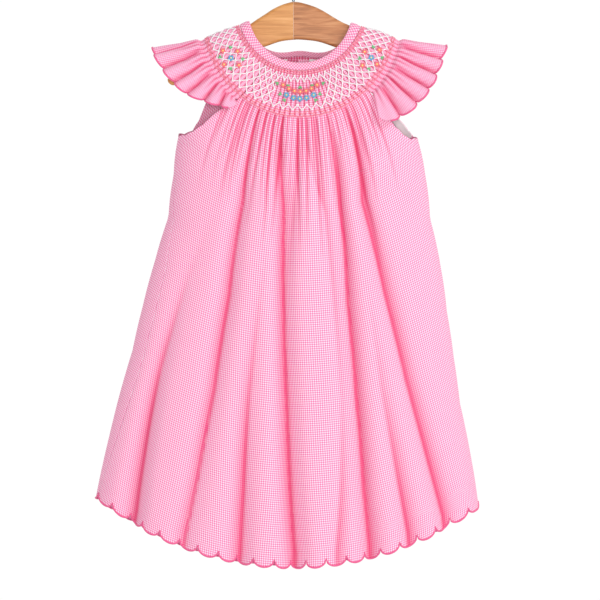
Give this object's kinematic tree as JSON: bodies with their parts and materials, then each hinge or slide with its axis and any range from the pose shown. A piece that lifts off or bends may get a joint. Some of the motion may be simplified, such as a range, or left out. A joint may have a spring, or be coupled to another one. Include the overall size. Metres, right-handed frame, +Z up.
{
  "type": "smocked bishop dress on a wooden hanger",
  "caption": "Child's A-line dress with a pleated and smocked yoke, flutter sleeves and a scalloped hem, hanging on a curved wooden hanger with a wire hook.",
  "frame": {"origin": "the hook's inner top, where it rests on the rod or pin that holds it", "axes": "+Z up, +X to the right as seen from the front, -Y towards the viewer, so the front of the dress faces -Y"},
  "size_m": [0.4019, 0.1107, 0.6558],
  "materials": {
    "gingham": "plain-woven cotton check in pink and white, matt",
    "bias_gingham": "the same check cut on the bias, matt",
    "white_cotton": "plain white cotton, matt",
    "buttons": "pale pink, glossy",
    "pale_wood": "clear lacquered, satin",
    "tan_wood": "clear lacquered, satin",
    "hook_steel": "drawn wire, smooth"
  },
  "bodies": {
    "root": {"front": "gingham", "back_left": "gingham", "back_right": "gingham", "sleeve_left": "gingham", "sleeve_right": "gingham", "neck_binding": "bias_gingham", "back_placket": "white_cotton", "label_left": "white_cotton", "label_right": "white_cotton", "armhole_facing_right": "white_cotton", "button_1": "buttons", "button_2": "buttons", "button_3": "buttons", "hanger_left": "pale_wood", "hanger_right": "tan_wood", "hook": "hook_steel"}
  },
  "joints": []
}
